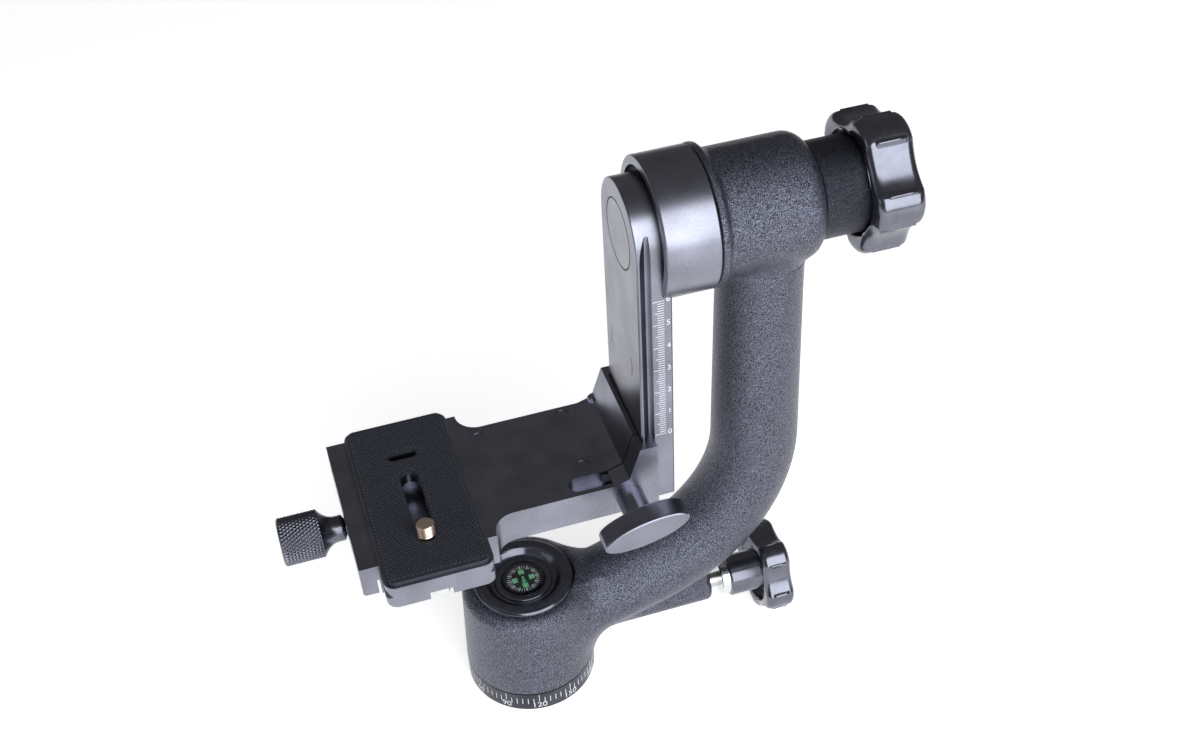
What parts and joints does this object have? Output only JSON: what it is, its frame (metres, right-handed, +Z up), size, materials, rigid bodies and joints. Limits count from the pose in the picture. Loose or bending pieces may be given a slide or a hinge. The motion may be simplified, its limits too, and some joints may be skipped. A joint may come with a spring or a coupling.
{
  "type": "gimbal tripod head",
  "caption": "Gimbal head for a camera with a long lens: bent arm on a panning base, swinging rail, height-adjustable platform with a quick-release clamp and plate.",
  "frame": {"origin": "centre of the base's underside, on the panning axis, at the mouth of the tripod thread", "axes": "+Z up along the panning axis, +X from the panning axis towards the column and the tilt knob, +Y away from the viewer"},
  "size_m": [0.2286, 0.0791, 0.2294],
  "materials": {
    "casting_paint": "crinkle paint",
    "black_anodised": "satin",
    "steel": "satin",
    "bright_steel": "polished",
    "gloss_knob": "gloss",
    "knurled_knob": "knurled",
    "rubber": "matte",
    "brass": "satin",
    "nylon": "matte",
    "compass_black": "gloss",
    "compass_card": "matte",
    "window": "clear"
  },
  "bodies": {
    "base": {"base_plate": "black_anodised", "pan_spindle": "steel", "base_screws": "steel", "thrust_washer": "nylon", "spindle_washer": "steel", "spindle_bolt": "steel", "pan_bearing_inner": "bright_steel"},
    "arm": {"arm_casting": "casting_paint", "pan_bearing_outer": "bright_steel", "pan_bearing_balls": "bright_steel", "compass_cap": "gloss_knob", "compass_cup": "compass_black", "compass_pin": "steel", "compass_dome": "window", "pan_lock_pad": "brass", "tilt_bearing_outers": "bright_steel", "tilt_bearing_balls": "bright_steel", "friction_washer": "nylon", "thrust_sleeve": "casting_paint"},
    "compass_card": {"compass_card": "compass_card"},
    "pan_lock_thrust": {"pan_lock_collar": "bright_steel"},
    "pan_lock": {"pan_lock_stud": "steel", "pan_lock_knob": "gloss_knob"},
    "swing": {"swing_collar": "black_anodised", "swing_rail": "black_anodised", "rail_cover": "black_anodised", "axle_bolt": "steel", "rail_dowels": "steel", "tilt_axle": "steel", "tilt_bearing_inners": "bright_steel"},
    "tilt_lock_thrust": {"tilt_washer": "steel"},
    "tilt_lock": {"tilt_knob": "gloss_knob", "tilt_knob_insert": "brass"},
    "platform": {"platform": "black_anodised", "rail_jaw_fixed": "black_anodised", "rail_jaw_screws": "black_anodised", "deck_plugs": "black_anodised", "rail_jaw_pins": "steel", "clamp_pins": "steel"},
    "rail_jaw": {"rail_jaw_moving": "black_anodised", "rail_jaw_spring": "steel"},
    "wing": {"wing_knob": "black_anodised", "wing_screw": "steel"},
    "clamp_jaw": {"clamp_jaw": "black_anodised", "clamp_springs": "steel"},
    "clamp_knob": {"clamp_knob": "knurled_knob", "clamp_screw": "steel"},
    "plate": {"quick_plate": "black_anodised", "plate_pad": "rubber", "stop_screw": "bright_steel"},
    "screw_slide": {"screw_clip": "nylon"},
    "camera_screw": {"camera_screw": "brass"}
  },
  "joints": [
    {"name": "pan", "type": "hinge", "parent": "base", "child": "arm", "pos_m": [0, 0, 0], "axis": [0, 0, 1], "continuous": true},
    {"name": "tilt", "type": "hinge", "parent": "arm", "child": "swing", "pos_m": [0, 0, 0.2043], "axis": [1, 0, 0], "continuous": true},
    {"name": "compass_turn", "type": "hinge", "parent": "arm", "child": "compass_card", "pos_m": [0, 0, 0.05], "axis": [0, 0, 1], "continuous": true},
    {"name": "pan_lock_travel", "type": "slide", "parent": "arm", "child": "pan_lock_thrust", "axis": [1, 0, 0], "range_m": [0, 0.0025]},
    {"name": "pan_lock_turn", "type": "hinge", "parent": "pan_lock_thrust", "child": "pan_lock", "pos_m": [0, 0, 0.0189], "axis": [1, 0, 0], "range_deg": [0, 720]},
    {"name": "tilt_lock_travel", "type": "slide", "parent": "swing", "child": "tilt_lock_thrust", "axis": [1, 0, 0], "range_m": [0, 0.0015]},
    {"name": "tilt_lock_turn", "type": "hinge", "parent": "tilt_lock_thrust", "child": "tilt_lock", "pos_m": [0, 0, 0.2043], "axis": [1, 0, 0], "range_deg": [0, 360]},
    {"name": "platform_slide", "type": "slide", "parent": "swing", "child": "platform", "axis": [0, 0, 1], "range_m": [-0.01, 0.05]},
    {"name": "rail_jaw_travel", "type": "slide", "parent": "platform", "child": "rail_jaw", "axis": [0, -1, 0], "range_m": [0, 0.0015]},
    {"name": "wing_turn", "type": "hinge", "parent": "rail_jaw", "child": "wing", "pos_m": [0.0376, 0, 0.1054], "axis": [0, -1, 0], "range_deg": [0, 540]},
    {"name": "clamp_travel", "type": "slide", "parent": "platform", "child": "clamp_jaw", "axis": [-1, 0, 0], "range_m": [0, 0.003]},
    {"name": "clamp_turn", "type": "hinge", "parent": "clamp_jaw", "child": "clamp_knob", "pos_m": [-0.07, 0, 0.1018], "axis": [-1, 0, 0], "range_deg": [0, 720]},
    {"name": "plate_slide", "type": "slide", "parent": "platform", "child": "plate", "axis": [0, 1, 0], "range_m": [-0.025, 0.006]},
    {"name": "screw_travel", "type": "slide", "parent": "plate", "child": "screw_slide", "axis": [0, 1, 0], "range_m": [0, 0.028]},
    {"name": "screw_turn", "type": "hinge", "parent": "screw_slide", "child": "camera_screw", "pos_m": [-0.0366, -0.0269, 0.11], "axis": [0, 0, 1], "continuous": true}
  ],
  "couplings": [
    {"joint": "pan_lock_turn", "follows": "pan_lock_travel", "rad_per_m": 5026.5},
    {"joint": "tilt_lock_turn", "follows": "tilt_lock_travel", "rad_per_m": 4188.7},
    {"joint": "wing_turn", "follows": "rail_jaw_travel", "rad_per_m": 6283.1},
    {"joint": "clamp_turn", "follows": "clamp_travel", "rad_per_m": 4188.7}
  ]
}
